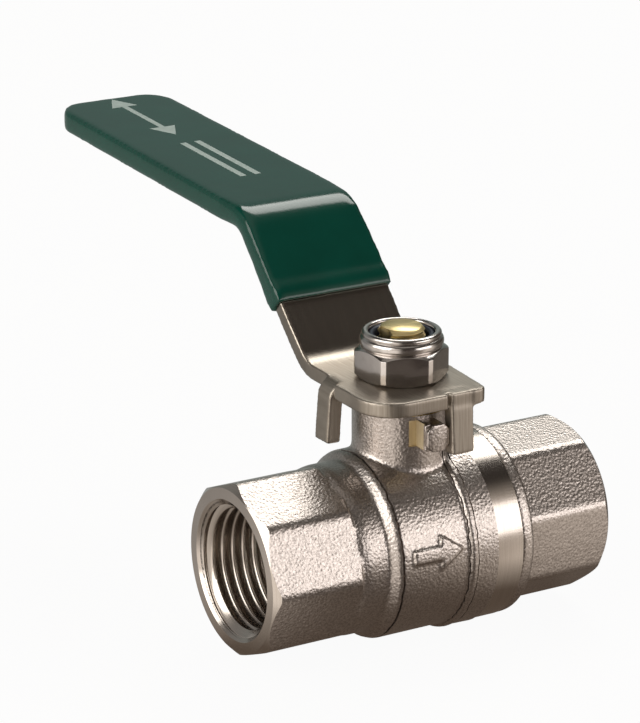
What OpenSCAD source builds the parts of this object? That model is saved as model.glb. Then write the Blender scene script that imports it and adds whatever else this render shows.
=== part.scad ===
// Two-piece threaded ball valve with a quarter-turn lever.
// The pipe runs along X, the stem along Z, and the lever points along Y while the valve is shut.
// The origin is the centre of the body's port face, so the ball's centre lies at [body_reach, 0, 0].
// Every module is drawn about the ball's centre and at_ball() carries it to its place.

/* [Ports] */
// Ball centre to the face of the body's port
body_reach = 30; // [29:0.1:36]
// Ball centre to the face of the end cap's port
cap_reach = 30.5; // [29.5:0.1:36]
// Major diameter of the pipe thread
port_major_d = 20.955; // [20:0.005:21.6]
// Depth of the pipe thread's profile
port_thread_depth = 1.162; // [0.9:0.001:1.3]
// Pitch of the pipe thread
port_pitch = 1.814; // [1.4:0.001:1.9]
// Full turns of thread in each port
port_turns = 6; // [4:1:6]
// Diameter of the countersink at the mouth of each port
port_mouth_d = 22.2; // [21.4:0.1:22.4]
// Length of the plain wall that the drill leaves behind the last turn
port_land_l = 1.4; // [0.8:0.1:1.8]

/* [Octagons] */
// Across the flats of the body's octagon
body_flats = 26; // [25.4:0.1:28]
// Length of the body's octagon
body_octagon_l = 15; // [14:0.1:15]
// Across the flats of the end cap's octagon
cap_flats = 26; // [25.4:0.1:28]
// Turn of the cap's octagon against the body's, where its thread came tight
cap_turn = 15; // [0:1:45]
// Radius along the octagon's edges
octagon_edge_r = 1.1; // [0.4:0.1:1.6]
// Slope of the chamfer that trims the octagon's corners at the port face
face_chamfer_deg = 30; // [20:1:40]

/* [Body shell] */
// Diameter of the shoulder between octagon and waist bead
shoulder_d = 26.9; // [26.4:0.1:28]
// Diameter over the bead next to the shoulder
waist_bead_d = 28.3; // [28:0.1:29.4]
// Distance of that bead's far side from the ball's centre
waist_bead_x = 9.9; // [9.4:0.1:10.4]
// Width of that bead
waist_bead_w = 1.9; // [1.2:0.1:2.1]
// Diameter of the ball chamber's outside
chamber_shell_d = 29.8; // [29.6:0.1:30.4]
// Diameter over the step that begins the cap's socket
socket_step_d = 31.2; // [30.8:0.1:31.6]
// Distance of that step from the ball's centre
socket_step_x = 3.6; // [3:0.1:4.4]
// Diameter of the turned band around the cap's socket
band_d = 30.6; // [30:0.1:30.8]
// Distance of the turned band from the ball's centre
band_x = 8.3; // [7:0.1:8.6]
// Distance of the body's open end from the ball's centre
body_mouth_x = 13; // [12.6:0.1:13.2]

/* [End cap] */
// Diameter of the cap's flange
flange_d = 30.5; // [30:0.1:31.4]
// Thickness of the cap's flange
flange_t = 2.2; // [1.4:0.1:2.6]
// Major diameter of the thread that joins cap and body
joint_major_d = 27; // [26.8:0.05:27.1]
// Pitch of that thread
joint_pitch = 1.5; // [1:0.05:1.5]
// Turns of that thread
joint_turns = 3; // [2:1:3]

/* [Ball and seats] */
// Diameter of the ball
ball_d = 24; // [23.8:0.05:24.2]
// Bore of the ball and of the passage
bore_d = 15; // [12:0.1:15]
// Gap between the ball and its seats
seat_gap = 0.05; // [0.03:0.01:0.1]
// Outside diameter of a seat ring
seat_d = 21; // [20.6:0.1:21]
// Distance of a seat ring's back from the ball's centre
seat_back_x = 12.3; // [12.1:0.05:12.4]
// Distance of a seat ring's front edge from the ball's centre
seat_front_x = 7.2; // [7:0.1:7.6]
// Diameter of the ball chamber
chamber_d = 25; // [24.8:0.05:25.1]
// Distance of the ball chamber's end walls from the ball's centre
chamber_x = 6.4; // [6.2:0.05:6.5]

/* [Neck and stop] */
// Diameter of the neck
neck_d = 15.2; // [14.8:0.1:16]
// Height of the neck's top above the pipe axis
neck_top_z = 22; // [21.8:0.1:22.2]
// Diameter at the foot of the neck's flare
neck_foot_d = 17.2; // [16.2:0.1:20]
// Height at which the neck begins to flare
flare_top_z = 16.6; // [15.6:0.1:18]
// Height of the flare's foot
flare_foot_z = 10; // [9:0.1:11]
// Width of the stop post that the lever's tabs meet
stop_w = 3.6; // [3:0.1:4.4]
// Reach of the stop post from the stem's axis
stop_reach = 11; // [10.6:0.1:11.4]
// Height of the stop post's end face
stop_end_h = 4.1; // [3.6:0.1:4.4]
// Height of the stop post's top above the pipe axis
stop_top_z = 21.5; // [21.3:0.1:21.8]
// Height of the stop post where it leaves the neck
stop_root_h = 5.7; // [5:0.1:6.2]
// Chamfer around the stop post's end
stop_chamfer = 0.8; // [0.3:0.1:1]
// Distance from the stem's axis to the back of the recess beside the stop post
stop_recess_y = 6.9; // [6.4:0.1:7.2]
// Width of that recess, milled so that the post's side is flat
stop_recess_w = 1.1; // [0.6:0.1:1.4]

/* [Stem] */
// Diameter of the stem in its packing
stem_d = 8.5; // [8.2:0.05:8.6]
// Diameter of the stem's collar
collar_d = 11.8; // [11.4:0.1:12]
// Thickness of the stem's collar
collar_t = 1.25; // [1:0.05:1.3]
// Thickness of the tang that drives the ball
tang_w = 4.6; // [4:0.1:5]
// Length of the tang along the ball's slot
tang_l = 10.2; // [9:0.1:10.6]
// Depth of the tang below the collar
tang_h = 3.4; // [3:0.05:3.45]
// Across the flats that carry the lever
stem_flats = 6; // [5.6:0.1:6.4]
// Major diameter of the stem's top thread
stem_major_d = 8; // [7.8:0.05:8.1]
// Pitch of the stem's top thread
stem_pitch = 1.25; // [1:0.05:1.25]
// Top of the stem above the pipe axis
stem_top_z = 34.3; // [33.9:0.1:35]
// Gap between the stem and what it turns in
stem_gap = 0.05; // [0.03:0.01:0.08]
// Clearance around the tang in the ball's slot
tang_gap = 0.1; // [0.05:0.01:0.15]

/* [Stem seals] */
// Height of the shoulder that holds the stem's collar down
guide_z = 14.4; // [14.35:0.05:14.6]
// Thickness of the thrust washer
thrust_t = 0.8; // [0.6:0.05:0.8]
// Height of the packing's seat
packing_z = 17; // [16.8:0.1:17.2]
// Height of one packing ring
packing_h = 0.8; // [0.6:0.05:0.8]
// Thickness of the washer between packing and gland nut
gland_washer_t = 0.4; // [0.3:0.05:0.4]
// Major diameter of the gland nut's thread
gland_major_d = 12; // [11.8:0.05:12.1]
// Pitch of the gland nut's thread
gland_pitch = 1; // [0.75:0.05:1]
// Across the flats of the gland nut's head
gland_flats = 12; // [11.6:0.1:12.6]
// Thickness of the gland nut's head
gland_head_t = 1.4; // [1:0.1:1.6]
// Section of the O-ring on the stem
stem_ring_s = 0.9; // [0.8:0.05:1]
// Section of the O-ring between cap and body
cap_ring_s = 1.35; // [1.2:0.05:1.4]

/* [Lever] */
// Thickness of the lever's steel
lever_t = 2.4; // [2:0.1:2.5]
// Width of the lever's steel
lever_w = 19.7; // [18.6:0.1:20.6]
// Shift of the lever's arm towards the body's port
arm_shift = 0.15; // [0:0.05:0.5]
// Narrowing of each side of the arm towards the plate
arm_narrowing = 0.3; // [0:0.1:0.6]
// Length along Y over which the arm narrows
narrowing_l = 8; // [4:0.5:8]
// Reach of the plate's free corner from the stem's axis, on the side of the cap
free_corner_reach = 8.4; // [8:0.1:9]
// Radius of that corner
free_corner_r = 1.5; // [0.8:0.1:2]
// Distance from the stem's axis at which the plate begins to narrow towards that corner
taper_y = 4; // [2:0.1:6]
// Top of the lever's plate above the pipe axis
plate_top_z = 26.2; // [26.2:0.1:26.6]
// Reach of the plate's front edge from the stem's axis
plate_front = 11.6; // [11.4:0.1:12]
// Reach of the plate's lobe, on the side away from the cap
lobe_reach = 11.3; // [11:0.1:11.6]
// Radius of the lobe's corner
lobe_r = 6; // [5:0.1:7]
// Distance of the first bend from the stem's axis
first_bend_y = 10.2; // [9.6:0.1:12]
// Inner radius of the first bend
first_bend_r = 4.6; // [3:0.1:5]
// Angle of the lever's slope
slope_deg = 45; // [40:1:50]
// Length of the slope between its bends
slope_l = 22.9; // [18:0.1:26]
// Inner radius of the second bend
second_bend_r = 4; // [3:0.1:6]
// Rise of the grip
grip_rise_deg = 1.9; // [0:0.1:4]
// Length of the grip beyond the second bend
grip_l = 63.9; // [55:0.1:80]
// Radius of the grip's corners
grip_corner_r = 5; // [3:0.1:7]
// Reach of each tab's bend from the stem's axis
tab_reach = 11.6; // [11.4:0.1:12]
// Width of each stop tab
tab_w = 3.9; // [3.4:0.1:4.2]
// Length of each stop tab below its bend
tab_l = 7; // [6.4:0.1:7.1]
// Inner radius of the bend that turns a tab down
tab_bend_r = 0.6; // [0.4:0.1:0.8]
// Angle of that bend
tab_bend_deg = 86; // [84:1:88]
// Gap between the stop post and the tab that rests on it
stop_gap = 0.1; // [0.05:0.01:0.15]

/* [Sleeve] */
// Thickness of the dipped sleeve
sleeve_t = 0.7; // [0.5:0.05:1.2]
// Length of the slope that the sleeve leaves bare
bare_slope_l = 8.8; // [6:0.1:12]

/* [Lever nut] */
// Across the flats of the nut
nut_flats = 13; // [12.8:0.1:13.2]
// Height of the nut's hexagon
nut_hex_h = 4.9; // [4.5:0.1:5.2]
// Height of the whole nut
nut_h = 7.5; // [7.2:0.1:7.6]
// Diameter of the nut's collar
nut_collar_d = 13.1; // [12.8:0.1:13.2]
// Diameter of the rolled rim
nut_rim_d = 11.8; // [11.6:0.1:12]
// Opening inside the rolled rim
nut_opening_d = 10.2; // [10:0.1:10.3]
// Turn of the hexagon where the nut came tight
nut_turn = 36; // [0:1:59]
// Height of the nylon insert
insert_h = 1.5; // [1.2:0.1:1.6]

/* [Hidden] */
$fn = 96;

eps = 0.01;
past = 1;
fit_gap = 0.05;
face_inset = 0.1;
joint_runout = 0.2;
collar_gap = 0.2;
thread_rise = 0.1;
edge_break = 0.4;
whitworth_half = 27.5;
metric_half = 30;
metric_depth = 0.613;
port_minor_r = port_major_d / 2 - port_thread_depth;
port_thread_l = port_turns * port_pitch;
mouth_l = port_mouth_d / 2 - port_minor_r;
seat_pocket_r = seat_d / 2 + fit_gap;
seat_pocket_x = seat_back_x + fit_gap;
chamber_shell_r = chamber_shell_d / 2;
shoulder_run = 0.5;
step_run = 0.3;
bead_groove = 0.2;
shell_run = 0.5;
joint_minor_r = joint_major_d / 2 - metric_depth * joint_pitch;
joint_thread_x = body_mouth_x - cap_ring_s - 2 * fit_gap - joint_turns * joint_pitch;
ring_room_r = joint_minor_r - joint_runout;
ring_wall_r = ring_room_r + cap_ring_s + 2 * fit_gap;
flange_x = body_mouth_x + flange_t;
collar_room_r = collar_d / 2 + collar_gap;
stem_room_r = stem_d / 2 + stem_gap;
collar_top_z = guide_z - thrust_t;
tang_top_z = collar_top_z - collar_t;
tang_z = tang_top_z - tang_h;
gland_minor_r = gland_major_d / 2 - metric_depth * gland_pitch;
packing_r = gland_minor_r + fit_gap;
gland_washer_z = packing_z + 2 * packing_h;
gland_z = gland_washer_z + gland_washer_t;
gland_turns = floor((neck_top_z - gland_z) / gland_pitch);
plate_z = plate_top_z - lever_t;
arm_left = -lever_w / 2 - arm_shift;
arm_right = lever_w / 2 - arm_shift;
root_left = arm_left + arm_narrowing;
root_right = arm_right - arm_narrowing;
tab_start = stop_w / 2 + stop_gap;
tab_outer_r = tab_bend_r + lever_t;
tab_root = tab_reach - tab_outer_r;
tab_notch = 0.6;
stem_minor_r = stem_major_d / 2 - metric_depth * stem_pitch;
stem_hole_r = stem_major_d / 2 + fit_gap;
stem_thread_z = plate_top_z + thread_rise;
stem_turns = floor((stem_top_z - edge_break - stem_thread_z) / stem_pitch);
nut_turns = 3;
rim_t = 0.7;
insert_z = plate_top_z + nut_h - rim_t - insert_h;
nut_corner_reach = 0.85;
nut_foot_chamfer = 0.6;
nut_top_chamfer = 0.9;
nut_round = 0.3;
collar_round = 0.5;
bend_steps = 16;

module at_ball() {
    translate([body_reach, 0, 0]) children();
}

// Turns an outline of [radius, distance along the pipe] about the pipe axis.
module turned() {
    rotate([0, 90, 0]) rotate_extrude() children();
}

// Wall of a thread drawn as rings: crest, flank, root and flank for each turn.
function thread_wall(crest, root, pitch, turns, start, half) =
    let (flank = abs(root - crest) * tan(half), land = pitch / 2 - flank)
    [for (i = [0 : turns - 1]) let (x = start + i * pitch) each [
        [crest, x + land / 2],
        [root, x + land / 2 + flank],
        [root, x + pitch - land / 2 - flank],
        [crest, x + pitch - land / 2]]];

// Hollow of one port, from its face at x = 0 inwards to the given depth.
module port_hollow(depth) {
    turned() polygon(concat(
        [[0, -past], [port_mouth_d / 2, -past], [port_mouth_d / 2, 0], [port_minor_r, mouth_l]],
        thread_wall(port_minor_r, port_major_d / 2, port_pitch, port_turns, mouth_l, whitworth_half),
        [[port_minor_r, mouth_l + port_thread_l + port_land_l],
         [bore_d / 2, mouth_l + port_thread_l + port_land_l],
         [bore_d / 2, depth], [0, depth]]));
}

// Octagon with rounded edges: four slabs, and a rod inside each corner.
module octagon(flats) {
    side = (flats - 2 * octagon_edge_r) * tan(22.5);
    for (i = [0 : 3]) rotate(22.5 + 45 * i) square([flats, side], center = true);
    for (i = [0 : 7]) rotate(45 * i)
        translate([(flats / 2 - octagon_edge_r) / cos(22.5), 0]) circle(octagon_edge_r);
    circle(flats / 2 - octagon_edge_r);
}

// Octagonal port end from its face at x = 0, with the corners trimmed at the face.
module port_octagon(flats, length) {
    face_r = flats / 2 - face_inset;
    rim_r = flats / 2 / cos(22.5) + past;
    intersection() {
        rotate([0, 90, 0]) linear_extrude(length) octagon(flats);
        turned() polygon([[0, 0], [face_r, 0],
            [rim_r, (rim_r - face_r) * tan(face_chamfer_deg)], [rim_r, length + past], [0, length + past]]);
    }
}

module body_outside() {
    octagon_end = body_octagon_l - body_reach;
    translate([-body_reach, 0, 0]) port_octagon(body_flats, body_octagon_l);
    turned() polygon([
        [0, octagon_end - eps],
        [body_flats / 2 - octagon_edge_r, octagon_end - eps],
        [shoulder_d / 2, octagon_end + shoulder_run],
        [shoulder_d / 2, -waist_bead_x],
        [waist_bead_d / 2, -waist_bead_x + step_run],
        [waist_bead_d / 2, -waist_bead_x + waist_bead_w - step_run],
        [waist_bead_d / 2 - bead_groove, -waist_bead_x + waist_bead_w],
        [chamber_shell_r, -waist_bead_x + waist_bead_w + shell_run],
        [chamber_shell_r, socket_step_x],
        [socket_step_d / 2, socket_step_x + step_run],
        [socket_step_d / 2, band_x - step_run],
        [band_d / 2, band_x],
        [band_d / 2, body_mouth_x],
        [0, body_mouth_x]]);
    rotate_extrude() polygon([[0, 0], [neck_foot_d / 2, 0], [neck_foot_d / 2, flare_foot_z],
        [neck_d / 2, flare_top_z], [neck_d / 2, neck_top_z - edge_break],
        [neck_d / 2 - edge_break, neck_top_z], [0, neck_top_z]]);
}

// Recess milled into the neck beside the post, where the lever's tab comes to rest when open.
module stop_recess() {
    height = stop_end_h - edge_break;
    translate([-stop_w / 2 - stop_recess_w, -stop_reach, stop_top_z - edge_break - height])
        cube([stop_recess_w, stop_reach - stop_recess_y, height]);
}

// Stop post: its underside tapers towards the end, and the corners there are chamfered.
module stop_post() {
    half = stop_w / 2;
    root_z = stop_top_z - stop_root_h;
    end_z = stop_top_z - stop_end_h;
    intersection() {
        translate([-half, 0, 0]) rotate([90, 0, 90]) linear_extrude(stop_w)
            polygon([[0, root_z], [-neck_d / 2, root_z], [-stop_reach, end_z],
                [-stop_reach, stop_top_z], [0, stop_top_z]]);
        union() {
            translate([-half, -stop_reach + stop_chamfer, 0]) cube([stop_w, stop_reach, neck_top_z]);
            rotate([90, 0, 0]) linear_extrude(stop_reach)
                polygon([[-half, end_z + stop_chamfer], [-half + stop_chamfer, end_z],
                    [half - stop_chamfer, end_z], [half, end_z + stop_chamfer],
                    [half, stop_top_z - stop_chamfer], [half - stop_chamfer, stop_top_z],
                    [-half + stop_chamfer, stop_top_z], [-half, stop_top_z - stop_chamfer]]);
        }
    }
}

module body_hollow() {
    translate([-body_reach, 0, 0]) port_hollow(body_reach);
    turned() polygon(concat(
        [[0, -seat_pocket_x], [seat_pocket_r, -seat_pocket_x], [seat_pocket_r, -chamber_x],
         [chamber_d / 2, -chamber_x], [chamber_d / 2, joint_thread_x],
         [joint_minor_r + fit_gap, joint_thread_x]],
        thread_wall(joint_minor_r + fit_gap, joint_major_d / 2 + fit_gap, joint_pitch, joint_turns,
            joint_thread_x, metric_half),
        [[joint_minor_r + fit_gap, joint_thread_x + joint_turns * joint_pitch],
         [ring_wall_r, joint_thread_x + joint_turns * joint_pitch],
         [ring_wall_r, body_mouth_x + past], [0, body_mouth_x + past]]));
    rotate_extrude() polygon(concat(
        [[0, 0], [collar_room_r, 0], [collar_room_r, guide_z], [stem_room_r, guide_z],
         [stem_room_r, packing_z], [packing_r, packing_z], [packing_r, gland_z]],
        thread_wall(packing_r, gland_major_d / 2 + fit_gap, gland_pitch, gland_turns, gland_z, metric_half),
        [[packing_r, neck_top_z + past], [0, neck_top_z + past]]));
}

module body() {
    color("#b3aca2") at_ball() difference() {
        union() {
            difference() {
                body_outside();
                stop_recess();
            }
            stop_post();
        }
        body_hollow();
    }
}

module end_cap() {
    color("#b8b1a7") at_ball() difference() {
        union() {
            rotate([-cap_turn, 0, 0]) translate([cap_reach, 0, 0]) mirror([1, 0, 0])
                port_octagon(cap_flats, cap_reach - body_mouth_x - eps);
            turned() polygon(concat(
                [[0, chamber_x], [joint_minor_r, chamber_x], [joint_minor_r, joint_thread_x]],
                thread_wall(joint_minor_r, joint_major_d / 2, joint_pitch, joint_turns,
                    joint_thread_x, metric_half),
                [[ring_room_r, joint_thread_x + joint_turns * joint_pitch],
                 [ring_room_r, body_mouth_x], [flange_d / 2, body_mouth_x],
                 [flange_d / 2, flange_x - edge_break], [flange_d / 2 - edge_break, flange_x], [0, flange_x]]));
        }
        translate([cap_reach, 0, 0]) mirror([1, 0, 0]) port_hollow(cap_reach);
        turned() polygon([[0, 0], [seat_pocket_r, 0], [seat_pocket_r, seat_pocket_x], [0, seat_pocket_x]]);
    }
}

// Round ring of circular section about Z.
module o_ring(mid_r, section) {
    rotate_extrude() translate([mid_r, 0]) circle(section / 2, $fn = 32);
}

// Flat ring about Z, standing on z.
module flat_ring(outer_r, inner_r, height, z) {
    translate([0, 0, z]) difference() {
        cylinder(height, r = outer_r);
        translate([0, 0, -past]) cylinder(height + 2 * past, r = inner_r);
    }
}

module cap_o_ring() {
    color("#1c1c1c") at_ball() translate([body_mouth_x - cap_ring_s / 2 - fit_gap, 0, 0])
        rotate([0, 90, 0]) o_ring((ring_room_r + ring_wall_r) / 2, cap_ring_s);
}

// Seat ring on the cap's side, hollowed to the ball.
module seat() {
    difference() {
        turned() polygon([[bore_d / 2, seat_back_x], [seat_d / 2, seat_back_x],
            [seat_d / 2, seat_front_x], [bore_d / 2, seat_front_x]]);
        sphere(ball_d / 2 + seat_gap);
    }
}

module body_seat() {
    color("#f3f1ea") at_ball() mirror([1, 0, 0]) seat();
}

module cap_seat() {
    color("#f3f1ea") at_ball() seat();
}

// Shut: the bore lies across the pipe and the slot along it.
module ball() {
    color("#d9dcde") at_ball() difference() {
        sphere(ball_d / 2);
        rotate([90, 0, 0]) cylinder(ball_d + past, r = bore_d / 2, center = true);
        translate([-ball_d / 2, -tang_w / 2 - tang_gap, tang_z - tang_gap])
            cube([ball_d, tang_w + 2 * tang_gap, ball_d / 2]);
    }
}

// Slab between the stem's two flats, wider than the stem by the given clearance.
module flats_slab(clearance) {
    translate([-stem_flats / 2 - clearance, -stem_d, 0])
        cube([stem_flats + 2 * clearance, 2 * stem_d, stem_top_z + past]);
}

module stem() {
    groove_r = stem_d / 2 - stem_ring_s + fit_gap;
    groove_z = (guide_z + packing_z) / 2;
    groove_h = stem_ring_s / 2 + fit_gap;
    color("#d8bd6a") at_ball() union() {
        intersection() {
            translate([-tang_l / 2, -tang_w / 2, tang_z]) cube([tang_l, tang_w, tang_h + eps]);
            cylinder(neck_top_z, r = collar_d / 2);
        }
        rotate_extrude() polygon([[0, tang_top_z], [collar_d / 2, tang_top_z],
            [collar_d / 2, collar_top_z], [stem_d / 2, collar_top_z],
            [stem_d / 2, groove_z - groove_h], [groove_r, groove_z - groove_h],
            [groove_r, groove_z + groove_h], [stem_d / 2, groove_z + groove_h],
            [stem_d / 2, plate_z], [0, plate_z]]);
        intersection() {
            rotate_extrude() polygon(concat(
                [[0, plate_z - eps], [stem_major_d / 2, plate_z - eps], [stem_major_d / 2, stem_thread_z]],
                thread_wall(stem_major_d / 2, stem_minor_r, stem_pitch, stem_turns, stem_thread_z,
                    metric_half),
                [[stem_minor_r, stem_top_z], [0, stem_top_z]]));
            flats_slab(0);
        }
    }
}

module stem_o_ring() {
    color("#1c1c1c") at_ball() translate([0, 0, (guide_z + packing_z) / 2])
        o_ring(stem_d / 2 - stem_ring_s / 2 + fit_gap / 2, stem_ring_s - fit_gap);
}

module thrust_washer() {
    color("#f3f1ea") at_ball() flat_ring(collar_d / 2, stem_room_r, thrust_t - fit_gap, collar_top_z + fit_gap);
}

module packing_ring(level) {
    flat_ring(packing_r - fit_gap, stem_room_r, packing_h, packing_z + level * packing_h);
}

module packing_lower() {
    color("#efece2") at_ball() packing_ring(0);
}

module packing_upper() {
    color("#f3f1ea") at_ball() packing_ring(1);
}

module gland_washer() {
    color("#c9b06a") at_ball()
        flat_ring(packing_r - fit_gap, stem_room_r, gland_washer_t, gland_washer_z);
}

module gland_nut() {
    color("#cdb26a") at_ball() difference() {
        union() {
            rotate_extrude() polygon(concat(
                [[0, gland_z], [gland_minor_r, gland_z]],
                thread_wall(gland_minor_r, gland_major_d / 2, gland_pitch, gland_turns, gland_z, metric_half),
                [[gland_minor_r, neck_top_z + eps], [0, neck_top_z + eps]]));
            translate([0, 0, neck_top_z])
                cylinder(gland_head_t, r = gland_flats / 2 / cos(30), $fn = 6);
        }
        cylinder(plate_z, r = stem_room_r);
    }
}

// Points of an arc in the plane of the lever's side view.
function arc(centre, r, from, to) =
    [for (i = [0 : bend_steps]) let (a = from + (to - from) * i / bend_steps) centre + r * [cos(a), sin(a)]];

// Side view [y, z] of the arm, thickened all round by cover. It begins on the slope at slope_from,
// or on the plate where slope_from is undef.
function arm_outline(cover, slope_from) =
    let (
        along = [cos(slope_deg), sin(slope_deg)],
        up = [-sin(slope_deg), cos(slope_deg)],
        centre_1 = [first_bend_y, plate_top_z + first_bend_r],
        slope_0 = centre_1 - up * first_bend_r,
        slope_1 = slope_0 + along * slope_l,
        centre_2 = slope_1 - up * (lever_t + second_bend_r),
        grip_along = [cos(grip_rise_deg), sin(grip_rise_deg)],
        grip_up = [-sin(grip_rise_deg), cos(grip_rise_deg)],
        tip = centre_2 + grip_up * second_bend_r + grip_along * (grip_l + cover),
        start = slope_from == undef ? [0, 0] : slope_0 + along * slope_from,
        lower = slope_from == undef
            ? concat(arc(centre_1, first_bend_r + lever_t + cover, slope_deg - 90, -90),
                [[first_bend_y - past, plate_z - cover]])
            : [start - up * (lever_t + cover)],
        upper = slope_from == undef
            ? concat([[first_bend_y - past, plate_top_z + cover]], arc(centre_1, first_bend_r - cover, -90, slope_deg - 90))
            : [start + up * cover])
    concat(upper,
        arc(centre_2, second_bend_r + lever_t + cover, slope_deg + 90, grip_rise_deg + 90),
        [tip + grip_up * (lever_t + cover), tip - grip_up * cover],
        arc(centre_2, second_bend_r - cover, grip_rise_deg + 90, slope_deg + 90),
        lower);

// Grip, slope and bends. The arm narrows towards the plate, and the grip's far corners are rounded.
module arm(cover, slope_from) {
    left = arm_left - cover;
    right = arm_right + cover;
    outline = arm_outline(cover, slope_from);
    tip_y = max([for (p = outline) p[0]]);
    corner_r = grip_corner_r + cover;
    intersection() {
        translate([left, 0, 0]) rotate([90, 0, 90]) linear_extrude(right - left) polygon(outline);
        linear_extrude(2 * stem_top_z) {
            polygon([[root_left - cover, 0], [root_right + cover, 0], [root_right + cover, first_bend_y],
                [right, first_bend_y + narrowing_l], [right, tip_y - corner_r], [right - corner_r, tip_y],
                [left + corner_r, tip_y], [left, tip_y - corner_r], [left, first_bend_y + narrowing_l],
                [root_left - cover, first_bend_y]]);
            for (x = [left + corner_r, right - corner_r]) translate([x, tip_y - corner_r]) circle(corner_r);
        }
    }
}

// Plan of the plate: a lobe on the port's side, and a free corner on the cap's side.
module plate_plan() {
    bend_start = first_bend_y - past / 2;
    difference() {
        union() {
            polygon([[-lobe_reach + lobe_r, -plate_front], [free_corner_reach - free_corner_r, -plate_front],
                [free_corner_reach, -plate_front + free_corner_r], [root_right, taper_y],
                [root_right, bend_start], [root_left, bend_start], [root_left, tab_start],
                [-lobe_reach, tab_start], [-lobe_reach, -plate_front + lobe_r]]);
            translate([-lobe_reach + lobe_r, -plate_front + lobe_r]) circle(lobe_r);
            translate([free_corner_reach - free_corner_r, -plate_front + free_corner_r])
                circle(free_corner_r);
        }
        translate([tab_start - tab_notch, -plate_front - past])
            square([tab_w + tab_notch, past + plate_front - tab_root]);
        translate([-lobe_reach, tab_start - tab_notch])
            square([lobe_reach - tab_root, tab_w + tab_notch]);
        intersection() {
            circle(stem_hole_r);
            square([stem_flats + 2 * fit_gap, 2 * stem_d], center = true);
        }
    }
}

// Tab turned down from an edge, in section: +X is outwards, +Y up, and the bend's centre at [0, 0].
module tab() {
    reach = 2 * tab_outer_r;
    lean = 90 - tab_bend_deg;
    linear_extrude(tab_w) {
        intersection() {
            difference() {
                circle(tab_outer_r);
                circle(tab_bend_r);
            }
            polygon([[0, 0], [0, reach], [reach, reach], [reach * cos(lean), reach * sin(lean)]]);
        }
        rotate(lean) translate([tab_bend_r, -tab_l]) square([lever_t, tab_l]);
    }
}

module lever() {
    color("#a39a8c") at_ball() {
        translate([0, 0, plate_z]) linear_extrude(lever_t) plate_plan();
        translate([tab_start + tab_w, -tab_root, plate_top_z - tab_outer_r]) rotate([90, 0, -90]) tab();
        translate([-tab_root, tab_start, plate_top_z - tab_outer_r]) rotate([90, 0, 180]) tab();
        arm(0);
    }
}

module lever_sleeve() {
    color("#14523c") at_ball() difference() {
        arm(sleeve_t, bare_slope_l);
        arm(0);
    }
}

module lever_nut() {
    collar_z = plate_top_z + nut_hex_h;
    top_z = plate_top_z + nut_h;
    corner_r = nut_flats / 2 + nut_corner_reach;
    color("#c4c0ba") at_ball() difference() {
        union() {
            intersection() {
                rotate(nut_turn) translate([0, 0, plate_top_z])
                    cylinder(nut_hex_h, r = nut_flats / 2 / cos(30), $fn = 6);
                rotate_extrude() polygon([[0, plate_top_z], [nut_flats / 2 - face_inset, plate_top_z],
                    [corner_r, plate_top_z + nut_foot_chamfer], [corner_r, collar_z - nut_top_chamfer],
                    [nut_flats / 2 - nut_round, collar_z], [0, collar_z]]);
            }
            rotate_extrude() polygon([[0, collar_z - eps],
                [nut_collar_d / 2 - collar_round, collar_z - eps],
                [nut_collar_d / 2, collar_z + collar_round],
                [nut_collar_d / 2 - face_inset, collar_z + 2 * collar_round + face_inset],
                [nut_rim_d / 2 + face_inset, top_z - collar_round], [nut_rim_d / 2, top_z - nut_round],
                [nut_rim_d / 2 - nut_round, top_z], [0, top_z]]);
        }
        rotate_extrude() polygon(concat(
            [[0, plate_top_z - past], [stem_hole_r, plate_top_z - past]],
            thread_wall(stem_hole_r, stem_minor_r + fit_gap, stem_pitch, nut_turns, stem_thread_z,
                metric_half),
            [[stem_hole_r, insert_z], [nut_opening_d / 2, insert_z],
             [nut_opening_d / 2, top_z + past], [0, top_z + past]]));
    }
}

module nut_insert() {
    color("#1b2233") at_ball()
        flat_ring(nut_opening_d / 2, stem_hole_r, insert_h, insert_z);
}

body();
end_cap();
cap_o_ring();
body_seat();
cap_seat();
ball();
stem();
stem_o_ring();
thrust_washer();
packing_lower();
packing_upper();
gland_washer();
gland_nut();
lever();
lever_sleeve();
lever_nut();
nut_insert();
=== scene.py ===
import math
from contextlib import contextmanager

import bpy
from mathutils import Matrix, Vector, noise


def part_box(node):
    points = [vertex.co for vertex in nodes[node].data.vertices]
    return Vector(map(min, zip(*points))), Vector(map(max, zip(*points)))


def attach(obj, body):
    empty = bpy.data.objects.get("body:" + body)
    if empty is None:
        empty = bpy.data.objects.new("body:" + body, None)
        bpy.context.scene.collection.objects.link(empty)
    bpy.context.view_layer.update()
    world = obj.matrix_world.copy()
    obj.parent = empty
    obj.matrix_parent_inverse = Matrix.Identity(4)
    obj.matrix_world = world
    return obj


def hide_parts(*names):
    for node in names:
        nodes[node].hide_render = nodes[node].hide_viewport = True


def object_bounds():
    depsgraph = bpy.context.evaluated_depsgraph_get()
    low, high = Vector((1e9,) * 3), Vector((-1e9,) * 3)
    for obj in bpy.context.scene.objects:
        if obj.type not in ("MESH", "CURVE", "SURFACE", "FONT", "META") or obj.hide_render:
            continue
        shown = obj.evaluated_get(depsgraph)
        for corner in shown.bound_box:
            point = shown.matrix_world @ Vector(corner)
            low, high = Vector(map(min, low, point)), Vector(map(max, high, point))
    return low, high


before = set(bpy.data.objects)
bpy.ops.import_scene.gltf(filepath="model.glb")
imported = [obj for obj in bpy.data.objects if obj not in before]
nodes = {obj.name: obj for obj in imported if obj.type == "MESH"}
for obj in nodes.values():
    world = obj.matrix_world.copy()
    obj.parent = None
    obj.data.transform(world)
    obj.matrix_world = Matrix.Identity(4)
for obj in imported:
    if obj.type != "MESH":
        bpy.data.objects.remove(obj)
cad_low, cad_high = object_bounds()
MM = 0.001


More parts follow.
